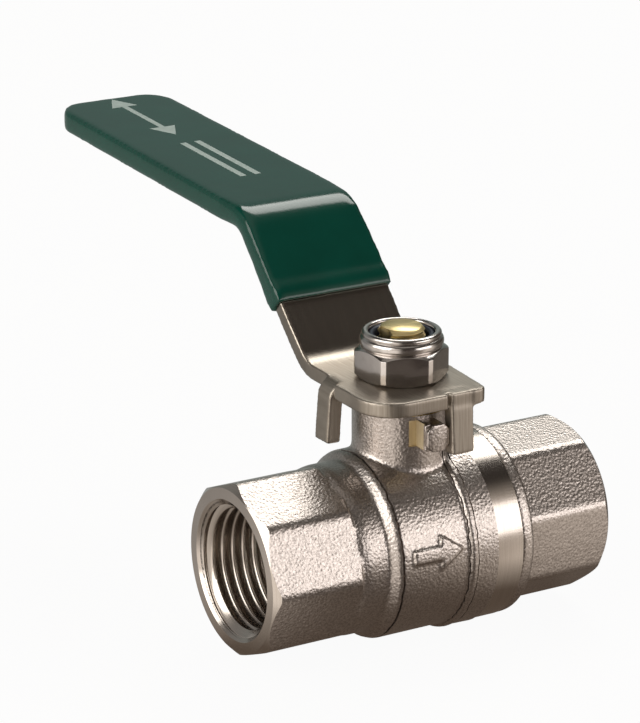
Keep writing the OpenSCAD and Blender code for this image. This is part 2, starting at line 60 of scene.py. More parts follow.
# --- Camera -------------------------------------------------------------------------
# A long lens looks down on the valve from the side of its body's port, so that the
# stem stands upright and the lever points away to the left.
stem_axis_x = (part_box("ball")[0].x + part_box("ball")[1].x) / 2
turn, tilt = math.radians(-30.3), math.radians(18.75)
aside, raised, distance = -12.45, 26.85, 512.5
back = Vector((math.sin(turn) * math.cos(tilt), -math.cos(turn) * math.cos(tilt), math.sin(tilt)))
right = Vector((math.cos(turn), math.sin(turn), 0))
up = back.cross(right)
lens_data = bpy.data.cameras.new("lens")
lens_data.lens = 163.8
lens_data.sensor_width = 36
camera = bpy.data.objects.new("camera", lens_data)
bpy.context.scene.collection.objects.link(camera)
camera.location = Vector((stem_axis_x, 0, 0)) + right * aside * MM + up * raised * MM + back * distance * MM
camera.rotation_mode = "QUATERNION"
camera.rotation_quaternion = (-back).to_track_quat("-Z", "Y")
bpy.context.scene.camera = camera
bpy.context.scene.view_settings.view_transform = "Standard"


# --- Body ---------------------------------------------------------------------------
# The body is hot-forged brass, shot-blasted and nickel-plated, so its skin is pebbled
# and every edge is soft. Its port, its face and the band round its socket are turned.
ball_x = stem_axis_x / MM
mouth_x = ball_x + 13


def deselect():
    if bpy.context.object and bpy.context.object.mode != "OBJECT":
        bpy.ops.object.mode_set(mode="OBJECT")
    bpy.ops.object.select_all(action="DESELECT")


def activate(piece):
    deselect()
    piece.select_set(True)
    bpy.context.view_layer.objects.active = piece
    return piece


@contextmanager
def editing(piece):
    """Opens a piece in edit mode with all of it selected, and closes it afterwards."""
    activate(piece)
    bpy.ops.object.mode_set(mode="EDIT")
    bpy.ops.mesh.select_all(action="SELECT")
    yield
    bpy.ops.object.mode_set(mode="OBJECT")


def face_out():
    """Turns every face of the piece in edit mode outwards."""
    bpy.ops.mesh.select_all(action="SELECT")
    bpy.ops.mesh.normals_make_consistent(inside=False)


def new_piece(name, points, edges=(), faces=()):
    """Adds a piece from points in mm."""
    mesh = bpy.data.meshes.new(name)
    mesh.from_pydata([[c * MM for c in point] for point in points], edges, faces)
    piece = bpy.data.objects.new(name, mesh)
    bpy.context.scene.collection.objects.link(piece)
    return activate(piece)


def lathe(name, outline, about="bore", steps=128):
    """Spins an outline of (place along the axis, radius) in mm about the bore or the stem."""
    if about == "bore":
        points = [(a, 0, r) for a, r in outline]
        centre, axis = (0, 0, 0), (1, 0, 0)
    else:
        points = [(ball_x + r, 0, a) for a, r in outline]
        centre, axis = (ball_x * MM, 0, 0), (0, 0, 1)
    piece = new_piece(name, points, [(i, i + 1) for i in range(len(points) - 1)])
    with editing(piece):
        bpy.ops.mesh.spin(steps=steps, angle=math.tau, center=centre, axis=axis)
        bpy.ops.mesh.select_all(action="SELECT")
        bpy.ops.mesh.remove_doubles(threshold=1e-7)
        face_out()
    return piece


def prism(name, corners, travel):
    """Draws a flat outline of corners in mm out into a solid, by a travel in mm."""
    piece = new_piece(name, corners, faces=[tuple(range(len(corners)))])
    with editing(piece):
        bpy.ops.mesh.extrude_region_move(TRANSFORM_OT_translate={"value": [step * MM for step in travel]})
        face_out()
    return piece


def rounded_bar(name, sides, flats, edge, start, end, turned, about="bore", steps=6):
    """Regular bar along the bore or the stem with rounded edges, its first corner at turned degrees."""
    reach = (flats / 2 - edge) / math.cos(math.pi / sides)
    outline = []
    for corner in range(sides):
        towards = math.radians(turned) + math.tau * corner / sides
        for step in range(steps + 1):
            a = towards + (step / steps - 0.5) * math.tau / sides
            outline.append((reach * math.cos(towards) + edge * math.cos(a),
                            reach * math.sin(towards) + edge * math.sin(a)))
    if about == "bore":
        return prism(name, [(start, -b, a) for a, b in outline], (end - start, 0, 0))
    return prism(name, [(ball_x + a, b, start) for a, b in outline], (0, 0, end - start))


def block(low, high):
    """Box between two corners in mm about the stem's axis."""
    deselect()
    bpy.ops.mesh.primitive_cube_add(
        size=1, location=[((a + b) / 2 + o) * MM for a, b, o in zip(low, high, (ball_x, 0, 0))],
        scale=[(b - a) * MM for a, b in zip(low, high)])
    box = bpy.context.object
    bpy.ops.object.transform_apply(location=True, rotation=True, scale=True)
    return box


def apply(piece, kind, **settings):
    activate(piece)
    modifier = piece.modifiers.new(kind, kind)
    for key, value in settings.items():
        setattr(modifier, key, value)
    bpy.ops.object.modifier_apply(modifier=modifier.name)
    return piece


def combine(piece, other, operation):
    apply(piece, "BOOLEAN", object=other, operation=operation, solver="EXACT", material_mode="TRANSFER")
    bpy.data.objects.remove(other)
    return piece


def cut(piece, tool, finish):
    """Cuts a tool's shape out of a piece and leaves the cut in a finish."""
    tool.data.materials.append(finish)
    combine(piece, tool, "DIFFERENCE")


def join(name, *parts):
    deselect()
    for part in parts:
        part.select_set(True)
    bpy.context.view_layer.objects.active = parts[0]
    bpy.ops.object.join()
    parts[0].name = name
    return parts[0]


def soften(piece, voxel, passes, askew=Matrix()):
    """Rounds all edges of a closed piece on a voxel grid in mm, set askew where edges would follow it."""
    piece.data.transform(askew)
    apply(piece, "REMESH", mode="VOXEL", voxel_size=voxel * MM)
    apply(piece, "SMOOTH", factor=0.5, iterations=passes)
    piece.data.transform(askew.inverted())


def smooth_where(piece, weigh, passes):
    """Smooths a piece by the weight that a place in mm has, where it is above zero."""
    group = piece.vertex_groups.new(name="weight")
    for v in piece.data.vertices:
        weight = weigh(v.co / MM)
        if weight > 0:
            group.add([v.index], min(1, weight), "REPLACE")
    apply(piece, "SMOOTH", factor=0.5, iterations=passes, vertex_group="weight")
    piece.vertex_groups.clear()


def shade(piece, degrees):
    """Shades a piece smooth but for the edges that are sharper than an angle."""
    activate(piece)
    bpy.ops.object.shade_smooth_by_angle(angle=math.radians(degrees))


def linear(hexa):
    """Linear colour with alpha of an sRGB hex value."""
    parts = [int(hexa[i:i + 2], 16) / 255 for i in (1, 3, 5)]
    return [c / 12.92 if c <= 0.04045 else ((c + 0.055) / 1.055) ** 2.4 for c in parts] + [1]


def wire(node, links):
    """Links a node's inputs; links is {input: (source node, its output)}."""
    for key, (source, output) in links.items():
        node.id_data.links.new(source.outputs[output], node.inputs[key])


def add(tree, kind, links=None, stops=(), **settings):
    """Adds a node with its links, its inputs or properties, and a ramp's stops of (place, hex colour)."""
    node = tree.nodes.new("ShaderNode" + kind)
    for key, value in settings.items():
        name = key.replace("_", " ")
        if name in node.inputs:
            node.inputs[name].default_value = value
        else:
            setattr(node, key, value)
    for place, colour in stops[1:-1]:
        node.color_ramp.elements.new(place)
    for index, (place, colour) in enumerate(stops):
        node.color_ramp.elements[index].position = place
        node.color_ramp.elements[index].color = linear(colour)
    wire(node, links or {})
    return node


def material(name, **settings):
    """A new material with a plain Principled shader: the material, its tree and that shader."""
    made = bpy.data.materials.new(name)
    made.use_nodes = True
    shader = made.node_tree.nodes["Principled BSDF"]
    for key, value in settings.items():
        shader.inputs[key.replace("_", " ")].default_value = value
    return made, made.node_tree, shader


def grained(name, grain_mm, dark, light, detail=3, drawn=(1, 1, 1), strength=0, relief_mm=0, **settings):
    """A finish whose grain runs from dark to light; drawn stretches it, by small factors, into lines."""
    made, tree, shader = material(name, **settings)
    spot = add(tree, "TexCoord")
    laid = add(tree, "Mapping", {"Vector": (spot, "Object")}, Scale=drawn)
    grain = add(tree, "TexNoise", {"Vector": (laid, "Vector")}, Scale=1 / (grain_mm * MM), Detail=detail)
    tint = add(tree, "ValToRGB", {"Fac": (grain, "Fac")}, [(0, dark), (1, light)])
    wire(shader, {"Base Color": (tint, "Color")})
    if relief_mm:
        relief = add(tree, "Bump", {"Height": (grain, "Fac")}, Strength=strength, Distance=relief_mm * MM)
        wire(shader, {"Normal": (relief, "Normal")})
    return made


# Nickel over shot-blasted brass: a grey, pebbled sheen that mirrors nothing clearly. The
# shot leaves pebbles of 0.45 mm, with a crumb of 0.3 mm over them.
forged_nickel, tree, shader = material("shot_blasted_nickel", Metallic=1.0, Roughness=0.33)
pebble_mm, crumb_mm = 0.4545, 0.303
spot = add(tree, "TexCoord")
pebbles = add(tree, "TexVoronoi", {"Vector": (spot, "Object")}, feature="SMOOTH_F1",
              Scale=1 / (pebble_mm * MM), Smoothness=0.7)
crumb = add(tree, "TexNoise", {"Vector": (spot, "Object")}, Scale=1 / (crumb_mm * MM), Detail=3)
coarse = add(tree, "Bump", {"Height": (pebbles, "Distance")}, Strength=0.6, Distance=0.1 * MM)
fine = add(tree, "Bump", {"Height": (crumb, "Fac"), "Normal": (coarse, "Normal")},
           Strength=0.6, Distance=0.07 * MM)
tint = add(tree, "ValToRGB", {"Fac": (crumb, "Fac")}, [(0.36, "#a69e98"), (0.62, "#c8c0ba")])
wire(shader, {"Base Color": (tint, "Color"), "Normal": (fine, "Normal")})

# Nickel over turned brass: brighter, with rings round the bore. A tool leaves them about
# 0.05 mm apart, and they are drawn twice as coarse.
turned_nickel = grained("turned_nickel", 0.1111, "#b3aaa1", "#cfc7bf", detail=2, drawn=(1, 0.01, 0.01),
                        strength=0.25, relief_mm=0.01, Metallic=1.0, Roughness=0.2)

# Nickel thin over milled brass: matt and yellowish, with upright marks of 0.25 mm, which
# are coarser than the cutter's.
milled_nickel = grained("milled_nickel", 0.25, "#d3c4a4", "#e6dabf", detail=2, drawn=(1, 1, 0.05),
                        Metallic=1.0, Roughness=0.55)

# Blank of the forging: an octagon for the spanner, a waist, a drum with a bead, and the neck.
octagon_flats, octagon_end = 26, 15.0
waist_r, drum_r, socket_r, neck_r, neck_top = 13.4, 14.87, 15.5, 7.6, 22.3
blank = rounded_bar("body_forging", 8, octagon_flats, 2.6, -0.4, octagon_end + 0.2, 0)
shell = lathe("shell", [
    (octagon_end - 0.5, 0), (octagon_end - 0.5, 12.6), (octagon_end + 0.1, 13), (octagon_end + 0.8, 13.25),
    (octagon_end + 1.8, waist_r), (ball_x - 10.15, waist_r), (ball_x - 9.9, 13.5), (ball_x - 8.95, 14.5),
    (ball_x - 8.75, 14.65), (ball_x - 8.4, 14.7), (ball_x - 8.2, drum_r), (ball_x + 3.3, drum_r),
    (ball_x + 3.55, 15.3), (ball_x + 3.8, 15.52), (ball_x + 4.15, 15.58), (ball_x + 4.5, 15.45),
    (ball_x + 4.8, 15.4), (ball_x + 8.6, socket_r), (mouth_x, socket_r), (mouth_x, 0)])
neck = lathe("neck", [(0, 0), (0, neck_r), (neck_top, neck_r), (neck_top, 0)], "stem")

# The flow arrow stands up from the drum as a slice of a slightly larger cylinder.
arrow_r, arrow_l, arrow_x, arrow_turn = 15.42, 9, ball_x - 2.2, math.radians(-9)
bpy.ops.mesh.primitive_cylinder_add(
    vertices=96, radius=arrow_r * MM, depth=arrow_l * MM, location=((ball_x - 2) * MM, 0, 0),
    rotation=(0, math.pi / 2, 0))
arrow = bpy.context.object
bpy.ops.object.transform_apply(location=True, rotation=True, scale=True)
mould = prism("mould", [(along, -17, across) for along, across in [
    (-4.3, -1), (0.5, -1), (0.5, -2.7), (4.3, 0), (0.5, 2.7), (0.5, 1), (-4.3, 1)]], (0, 4, 0))
mould.data.transform(Matrix.Translation((arrow_x * MM, 0, 0)) @ Matrix.Rotation(arrow_turn, 4, "X"))
combine(arrow, mould, "INTERSECT")

forging_voxel, forging_passes = 0.25, 3
forging = join("body_forging", blank, shell, neck, arrow)
soften(forging, forging_voxel, forging_passes)


def at_foot(place):
    """How far a place in mm lies inside the fillet round the foot of the neck."""
    inner_r, outer_r, low, high, fade = 6, 10.5, 8, 18, 1.5
    reach = math.hypot(place.x - ball_x, place.y)
    if reach < inner_r or place.z < low:
        return 0
    return min((outer_r - reach) / fade, (high - place.z) / fade)


smooth_where(forging, at_foot, 45)
forging.data.materials.append(forged_nickel)

post_bottom, post_top = 17.1, 21.5


def post_length(left, right, left_cut, right_cut, start_y, end_y):
    """Adds one length of the stop post with its corners cut; left and right are about the stem."""
    outline = [(left, post_bottom + left_cut), (left + left_cut, post_bottom),
               (right - right_cut, post_bottom), (right, post_bottom + right_cut),
               (right, post_top - right_cut), (right - right_cut, post_top),
               (left + left_cut, post_top), (left, post_top - left_cut)]
    post = prism("post", [(ball_x + x, start_y, z) for x, z in outline], (0, end_y - start_y, 0))
    apply(post, "BEVEL", width=0.25 * MM, segments=4, limit_method="ANGLE", angle_limit=math.radians(30))
    post.data.materials.append(forged_nickel)
    combine(forging, post, "UNION")


post_length(-1.9, 1.8, 0.3, 0.8, -10.2, -4)
post_length(-1.95, 1.95, 1, 1, -11, -9.6)


def ragged_groove(start, end, floor_r):
    """Cuts a ring groove with an uneven edge, as two die halves leave beside a bead."""
    clear_r, ragged_r = 17, 16
    sideways, sideways_scale, in_and_out, in_and_out_scale = 0.22, 900, 0.012, 700
    tool = lathe("groove", [(start, floor_r), (start - 0.1, clear_r), (end + 0.1, clear_r), (end, floor_r),
                            (start, floor_r)], steps=220)
    for v in tool.data.vertices:
        if v.co.yz.length < ragged_r * MM:
            v.co.x += sideways * MM * noise.noise(v.co * sideways_scale)
            v.co.yz *= 1 + in_and_out * noise.noise(v.co * in_and_out_scale + Vector((5, 5, 5)))
    cut(forging, tool, forged_nickel)


ragged_groove(ball_x - 8.4, ball_x - 8.15, 14.2)
ragged_groove(ball_x + 3.3, ball_x + 3.45, 14.8)
ragged_groove(ball_x + 4.6, ball_x + 4.8, 15.25)

# A pocket milled beside the post lets the lever's tab come to rest.
cut(forging, block((-2.9, -9.6, 17.2), (-1.6, -6.9, 21.4)), milled_nickel)

bore_r, thread_root_r, relief_r, port_r = 7.5, 10.48, 9.3, 11.1
seat_r, seat_bed, socket_bed = 10.55, 12.35, 6.4


def port_cut(face_x, inward):
    """Outline of a threaded port, from outside its chamfered face in to the end of its relief."""
    depths = [(-2, 0), (-2, 20), (7.15, 20), (0, 12.85), (0, port_r),
              (port_r - thread_root_r, thread_root_r), (12.5, thread_root_r), (12.9, relief_r),
              (14.07, relief_r), (14.07, bore_r)]
    return [(face_x + inward * depth, r) for depth, r in depths]


cut(forging, lathe("port_tool", port_cut(0, 1) + [
    (ball_x - seat_bed, bore_r), (ball_x - seat_bed, seat_r), (ball_x - socket_bed, seat_r),
    (ball_x - socket_bed, 12.5), (ball_x + 7.0, 12.5), (ball_x + 7.0, 13.5), (ball_x + 11.5, 13.5),
    (ball_x + 11.5, 13.9), (mouth_x + 2, 13.9), (mouth_x + 2, 0)]), turned_nickel)
band_start, band_r = ball_x + 8.3, 15.3
cut(forging, lathe("band_tool", [
    (band_start, band_r), (band_start, 18), (mouth_x + 1, 18), (mouth_x + 1, band_r), (band_start, band_r)],
    steps=192), turned_nickel)
cut(forging, lathe("stem_tool", [
    (4, 0), (4, 6.1), (14.4, 6.1), (14.4, 4.3), (17, 4.3), (17, 5.4), (19, 5.4), (19, 6), (22, 6), (22, 12),
    (24, 12), (24, 0)], "stem", 96), turned_nickel)
shade(forging, 32)
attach(forging, "housing")
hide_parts("body")


def thread_ridge(name, section, axis, pitch, turns):
    """Sweeps a closed section of points in mm along a right-hand helix; turns below zero run back."""
    ridge = new_piece(name, section, [(i, (i + 1) % len(section)) for i in range(len(section))])
    steps = int(96 * abs(turns))
    apply(ridge, "SCREW", axis=axis, angle=math.tau * turns, screw_offset=pitch * turns * MM,
          steps=steps, render_steps=steps)
    with editing(ridge):
        bpy.ops.mesh.fill_holes(sides=0)
        face_out()
    return ridge


def port_thread(name, face_x, inward):
    """Ridge of a right-hand internal pipe thread, cut back by the port's countersink."""
    pitch, turns, first, crest_r = 1.814, 7.8, -1.24, 9.3155
    section = [(-0.8, 10.7), (-0.755, thread_root_r), (-0.24, 9.46), (-0.13, 9.35), (0, crest_r),
               (0.13, 9.35), (0.24, 9.46), (0.755, thread_root_r), (0.8, 10.7)]
    ridge = thread_ridge(name, [(face_x + inward * (first + a), 0, r) for a, r in section],
                         "X", pitch, inward * turns)
    ridge.data.materials.append(turned_nickel)
    cone = lathe("cone", [(face_x + inward * a, r) for a, r in [
        (-4, 0), (-4, 14), (0, 14), (0, port_r), (1.9, 9.2), (1.9, 0)]])
    cut(ridge, cone, turned_nickel)
    shade(ridge, 40)
    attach(ridge, "housing")


port_thread("body_port_thread", 0, 1)


# --- End cap ------------------------------------------------------------------------
# The cap is forged and plated as the body is. Its flange seats on the turned band, and
# its octagon stopped a third of a face out of line when its thread came tight.
end_x = cad_high.x / MM
flange_r, flange_w = 15.25, 2.2
cap_bar = rounded_bar("cap_forging", 8, octagon_flats, 2.2, mouth_x + 1.2, end_x + 0.4, -15)
flange = lathe("flange", [
    (mouth_x - 0.01, 0), (mouth_x - 0.01, flange_r), (mouth_x + 1.4, flange_r), (mouth_x + 1.9, 15.1),
    (mouth_x + flange_w, 14.7), (mouth_x + flange_w, 0)])
cap = join("cap_forging", cap_bar, flange)
soften(cap, forging_voxel, forging_passes)
cap.data.materials.append(forged_nickel)
cut(cap, lathe("cap_tool", port_cut(end_x, -1) + [(mouth_x - 2, bore_r), (mouth_x - 2, 0)]), turned_nickel)
cut(cap, lathe("seat_tool", [
    (mouth_x - 2, 0), (mouth_x - 2, 16), (mouth_x, 16), (mouth_x, 0)]), turned_nickel)
spigot_r = 12.35
spigot = lathe("cap_spigot", [
    (mouth_x, bore_r), (mouth_x, spigot_r), (ball_x + socket_bed, spigot_r), (ball_x + socket_bed, seat_r),
    (ball_x + seat_bed, seat_r), (ball_x + seat_bed, bore_r), (mouth_x, bore_r)])
spigot.data.materials.append(turned_nickel)
shade(spigot, 32)
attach(spigot, "housing")
shade(cap, 32)
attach(cap, "housing")
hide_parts("end_cap")
port_thread("cap_port_thread", end_x, -1)


# --- Lever --------------------------------------------------------------------------
# The lever is stamped from stainless sheet and bent cold: a cranked arm, a plate on the
# stem's flats and two tabs that meet the stop post. It is brushed along its length.

# Brushed stainless steel: a grey sheen drawn out across its lines, which run along the
# arm. They are 0.2 mm, coarser than the belt's. The plate is duller than the slope.
brushed_steel = grained("brushed_stainless", 0.2, "#7d746a", "#b9b1a5", detail=4, drawn=(1, 0.03, 0.03),
                        strength=0.5, relief_mm=0.02, Metallic=1.0, Roughness=0.26)
dull_until, bright_from = 9, 13
tree = brushed_steel.node_tree
spot = add(tree, "TexCoord")
parts = add(tree, "SeparateXYZ", {0: (spot, "Object")})
dullness = add(tree, "MapRange", {"Value": (parts, "Y")}, From_Min=dull_until * MM,
               From_Max=bright_from * MM, To_Min=0.42, To_Max=0.25)
wire(tree.nodes["Principled BSDF"], {"Roughness": (dullness, "Result")})


def copy_of(node, name):
    """A merged copy of a CAD node, with its flat faces whole."""
    piece = bpy.data.objects.new(name, nodes[node].data.copy())
    bpy.context.scene.collection.objects.link(piece)
    piece.data.materials.clear()
    with editing(piece):
        bpy.ops.mesh.remove_doubles(threshold=2e-6)
        bpy.ops.mesh.dissolve_limited(angle_limit=math.radians(0.5))
    return piece


def keep(piece, side, at, along=(0, 1, 0)):
    """Cuts a piece at a distance in mm along an axis and keeps what is before or beyond it, closed."""
    with editing(piece):
        bpy.ops.mesh.bisect(plane_co=[at * step * MM for step in along], plane_no=along, use_fill=True,
                            clear_inner=side == "beyond", clear_outer=side == "before")
    return piece


# The softened plate and the arm inside the sleeve meet just inside the sleeve's lip.
hidden_y = 24
tab_edge = 8.3
plate_low, plate_high = 23.85, 26.15
askew = Matrix.Rotation(0.6, 4, "Z") @ Matrix.Rotation(0.5, 4, "X")
plate = keep(copy_of("lever", "lever_plate"), "before", hidden_y)
# Beside each tab the sheet keeps the metal that the notch and the bend leave standing.
lever = join("lever_plate", plate,
             block((1.95, -11.45, 23.6), (6.4, -tab_edge, plate_high)),
             block((1.2, -10.6, plate_low), (2.0, -tab_edge, plate_high)),
             block((-9.75, 5.7, plate_low), (-tab_edge, 6.6, plate_high)),
             block((-10.6, 1.2, plate_low), (-tab_edge, 2.0, plate_high)))
soften(lever, 0.19, 20, askew)
lever = join("lever_plate", lever, keep(copy_of("lever", "lever_inside"), "beyond", hidden_y - 0.1))
lever.data.materials.append(brushed_steel)
shade(lever, 40)
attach(lever, "handle")
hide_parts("lever")


# --- Sleeve -------------------------------------------------------------------------
# The grip was dipped in liquid vinyl and cured, so the coat is glossy, follows the
# steel with soft corners, and ends in a thicker lip half-way down the slope.

# Plasticised vinyl, dipped and cured hot: a deep green gloss over a skin that sags in
# waves of about 8 mm.
green_vinyl = grained("dipped_vinyl", 7.69, "#083a2f", "#0a463a", detail=2, strength=0.3, relief_mm=0.1,
                      Roughness=0.14, IOR=1.5)

bend_y, bend_reach = 31.5, 7
core = keep(copy_of("lever", "core"), "beyond", 21)
sleeve = join("grip_sleeve", copy_of("lever_sleeve", "grip_sleeve"), core)
soften(sleeve, 0.3, 48, askew)
smooth_where(sleeve, lambda place: 1 - abs(place.y - bend_y) / bend_reach, 104)

# Vinyl runs back as it cures: it swells over the flats at the lip and thins elsewhere.
slope = Vector((0, 1, 1)).normalized()
lip_centre, lip_half_width, lip_swell, thinning = 2.1, 2.5, 0.26, 0.04
lip_start = min(v.co.dot(slope) for v in sleeve.data.vertices)
swollen = []
for v in sleeve.data.vertices:
    reach = abs((v.co.dot(slope) - lip_start) / MM - lip_centre) / lip_half_width
    swell = lip_swell * (1 - v.normal.x ** 2) * math.cos(min(1, reach) * math.pi / 2) ** 2
    swollen.append(v.co + v.normal * (swell - thinning) * MM)
for v, place in zip(sleeve.data.vertices, swollen):
    v.co = place
sleeve.data.materials.clear()
sleeve.data.materials.append(green_vinyl)
for face in sleeve.data.polygons:
    face.material_index = 0
    face.use_smooth = True
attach(sleeve, "handle")
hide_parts("lever_sleeve")

# Screen ink: a flat greyed white, rubbed thinner by hands in specks of about 1 mm.
white_ink = grained("screen_ink", 1.111, "#8fa39c", "#b9c6c1", Roughness=0.4)


def print_mark(name, outline):
    """Prints a flat shape of (x, y) in mm about the stem on top of the grip."""
    above = 80
    mark = new_piece(name, [(ball_x + x, y, above) for x, y in outline],
                     faces=[tuple(reversed(range(len(outline))))])
    with editing(mark):
        bpy.ops.mesh.quads_convert_to_tris()
        bpy.ops.mesh.subdivide(number_cuts=4)
    apply(mark, "SHRINKWRAP", target=sleeve, wrap_method="PROJECT", use_project_z=True,
          use_positive_direction=False, use_negative_direction=True, offset=0.02 * MM)
    apply(mark, "SOLIDIFY", thickness=0.03 * MM, offset=-1)
    mark.data.materials.append(white_ink)
    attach(mark, "handle")


print_mark("turn_arrow", [(-0.5, 78), (-0.5, 92), (-2.4, 92), (0, 97), (2.4, 92), (0.5, 92), (0.5, 78),
                          (2.4, 78), (0, 73), (-2.4, 78)])
print_mark("upper_bar", [(0.8, 47), (0.8, 68), (1.9, 68), (1.9, 47)])
print_mark("lower_bar", [(-1.9, 47), (-1.9, 68), (-0.8, 68), (-0.8, 47)])


# --- Lock nut, insert and stem ------------------------------------------------------
# The nut is cold-formed stainless, polished, with a rolled collar that holds a nylon
# ring. The stem is turned brass, and its end shows in the nut.

# Stainless steel, tumbled bright: clear reflections, faintly clouded over about 1 mm.
polished_steel = grained("polished_stainless", 1.111, "#bfb9b4", "#d4cfcb", strength=0.1, relief_mm=0.02,
                         Metallic=1.0, Roughness=0.2)

plate_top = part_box("lever_nut")[0].z / MM
nut_flats, hex_h = 13, 4.9
hex_top = plate_top + hex_h
nut = rounded_bar("lock_nut", 6, nut_flats, 0.85, plate_top, hex_top, 36.3, "stem", 1)
trim = lathe("trim", [
    (plate_top, 0), (plate_top, 6.3), (plate_top + 0.7, 7.4), (hex_top - 0.7, 7.4), (hex_top, 6.3),
    (hex_top, 0)], "stem")
combine(nut, trim, "INTERSECT")
apply(nut, "BEVEL", width=0.16 * MM, segments=2, limit_method="ANGLE", angle_limit=math.radians(20))
collar = lathe("collar", [(plate_top + a, r) for a, r in [
    (4.5, 5.0), (4.6, 5.9), (4.9, 6.1), (5.05, 6.28), (5.3, 6.42), (5.65, 6.51), (6.0, 6.51), (6.3, 6.43),
    (6.5, 6.26), (6.58, 6.08), (6.64, 6.02), (6.72, 6.04), (6.85, 6.12), (7.0, 6.16), (7.18, 6.12),
    (7.35, 5.98), (7.46, 5.76), (7.49, 5.55), (7.44, 5.34), (7.32, 5.19), (7.15, 5.1), (6.6, 5.1),
    (6.6, 4.9), (4.5, 4.9), (4.5, 5.0)]], "stem")
nut = join("lock_nut", nut, collar)
nut.data.materials.clear()
nut.data.materials.append(polished_steel)
shade(nut, 38)
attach(nut, "handle")
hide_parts("lever_nut")


def dress(finish, *names):
    """Gives CAD nodes that show as they are their finish."""
    for name in names:
        nodes[name].data.materials.clear()
        nodes[name].data.materials.append(finish)


# Brass, turned and left bare: soft gold, with the tool's rings round the stem. They are
# 0.35 mm apart, coarser than real. A ring pattern of scale 1 repeats every tau / 20.
turned_brass, tree, shader = material("turned_brass", Metallic=1.0, Roughness=0.34)
ring_mm = 0.349
spot = add(tree, "TexCoord")
centre = add(tree, "Mapping", {"Vector": (spot, "Object")}, Location=(-stem_axis_x, 0, 0))
rings = add(tree, "TexWave", {"Vector": (centre, "Vector")}, wave_type="RINGS", rings_direction="Z",
            Scale=math.tau / 20 / (ring_mm * MM), Distortion=0.6)
bump = add(tree, "Bump", {"Height": (rings, "Fac")}, Strength=0.12, Distance=0.02 * MM)
tint = add(tree, "ValToRGB", {"Fac": (rings, "Fac")}, [(0, "#dfc98c"), (1, "#efdba6")])
wire(shader, {"Base Color": (tint, "Color"), "Normal": (bump, "Normal")})
dress(turned_brass, "gland_nut", "gland_washer")

stem_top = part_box("stem")[1].z / MM
tip_l, tip_r, crown_r, thread_r, thread_root, half_flats = 3, 3.3, 3.0, 3.68, 3.2, 2.95
upwards = (0, 0, 1)
shank = keep(copy_of("stem", "shank"), "before", stem_top - tip_l, upwards)
tip = lathe("tip", [
    (stem_top - tip_l, 0), (stem_top - tip_l, tip_r), (stem_top - 0.25, tip_r), (stem_top, crown_r),
    (stem_top, 0)], "stem", 96)
tip_thread = thread_ridge("tip_thread", [(r, 0, stem_top - 3.9 + a) for a, r in [
    (-0.55, thread_root), (-0.5, 3.32), (-0.1, thread_r), (0.1, thread_r), (0.5, 3.32),
    (0.55, thread_root)]], "Z", 1.25, 3.5)
tip_thread.data.transform(Matrix.Translation((ball_x * MM, 0, 0)))
# An odd number of steps keeps the crown's seams off the thread's.
crown = lathe("crown", [
    (stem_top - 5, 0), (stem_top - 5, 5), (stem_top - 0.75, 3.9), (stem_top, crown_r), (stem_top, 0)],
    "stem", 97)
combine(tip_thread, crown, "INTERSECT")
for part in (tip, tip_thread):
    combine(part, block((-half_flats, -5, 20), (half_flats, 5, stem_top + 1)), "INTERSECT")
stem = join("brass_stem", shank, tip, tip_thread)
stem.data.materials.clear()
stem.data.materials.append(turned_brass)
shade(stem, 30)
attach(stem, "handle")
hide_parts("stem")

# Nylon, moulded and dyed: dark blue with a waxy shine, clouded over 1.4 mm.
nylon = grained("nylon", 1.4286, "#141a2a", "#1f2940", detail=2, Roughness=0.3, IOR=1.53)
insert = lathe("nylon_ring", [(plate_top + a, r) for a, r in [
    (5.0, 4.2), (6.55, 4.2), (6.85, 4.35), (7.0, 4.6), (6.95, 4.85), (6.7, 5.08), (5.0, 5.08),
    (5.0, 4.2)]], "stem")
insert.data.materials.append(nylon)
shade(insert, 50)
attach(insert, "handle")
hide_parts("nut_insert")


# --- Ball, seats and seals ----------------------------------------------------------
# Hidden inside: a chrome-plated ball between seats of white fluoroplastic, with washers
# and packing of the same and rings of black nitrile rubber.

# Hard chrome, lapped: a cool mirror with the faintest haze, in patches of 2.5 mm.
chrome = grained("hard_chrome", 2.5, "#cfd2d4", "#dfe1e3", Metallic=1.0, Roughness=0.06)
dress(chrome, "ball")

# Fluoroplastic, sintered and turned: milky, waxy and matt, clouded over 1.7 mm.
fluoroplastic = grained("fluoroplastic", 1.6667, "#e9e6dc", "#f4f2ec", Roughness=0.45, IOR=1.35)
dress(fluoroplastic, "body_seat", "cap_seat", "thrust_washer", "packing_lower", "packing_upper")

# Nitrile rubber, moulded: black and dull, with a bloom in patches of 0.8 mm.
nitrile = grained("nitrile_rubber", 0.8333, "#151515", "#232323", Roughness=0.55, IOR=1.52)
dress(nitrile, "cap_o_ring", "stem_o_ring")


# --- Floor, world and lamps ---------------------------------------------------------
# A plain white table under soft boxes: overhead and a little behind, to the right in
# front, and high on the left. The camera's side is dark, and so the metal mirrors dark; to
# reflections the table glows a painted reflection of the room and a painted shadow.
deselect()
bpy.ops.mesh.primitive_grid_add(
    x_subdivisions=8, y_subdivisions=8, size=4, location=(stem_axis_x, 0, cad_low.z - 0.05 * MM))
floor = bpy.context.object
floor.name = "floor"

# Walls of the room as (share of a turn, colour), from -X round by -Y. The table glows them
# to reflected rays as a painted reflection.
walls_round = [
    (0.0, "#f6efe8"), (0.13, "#f2e9e0"), (0.165, "#3c342f"), (0.26, "#413833"), (0.32, "#857a70"),
    (0.352, "#d2c8be"), (0.40, "#d2c8be"), (0.46, "#4c4640"), (0.56, "#4c4640"), (0.64, "#858f8c"),
    (0.74, "#8d918f"), (0.87, "#8a8785"), (0.94, "#cfc8c0")]

# Where a Mix node has its two colours, and their mixture among its outputs.
mix_a, mix_b, mixed = 6, 7, 2
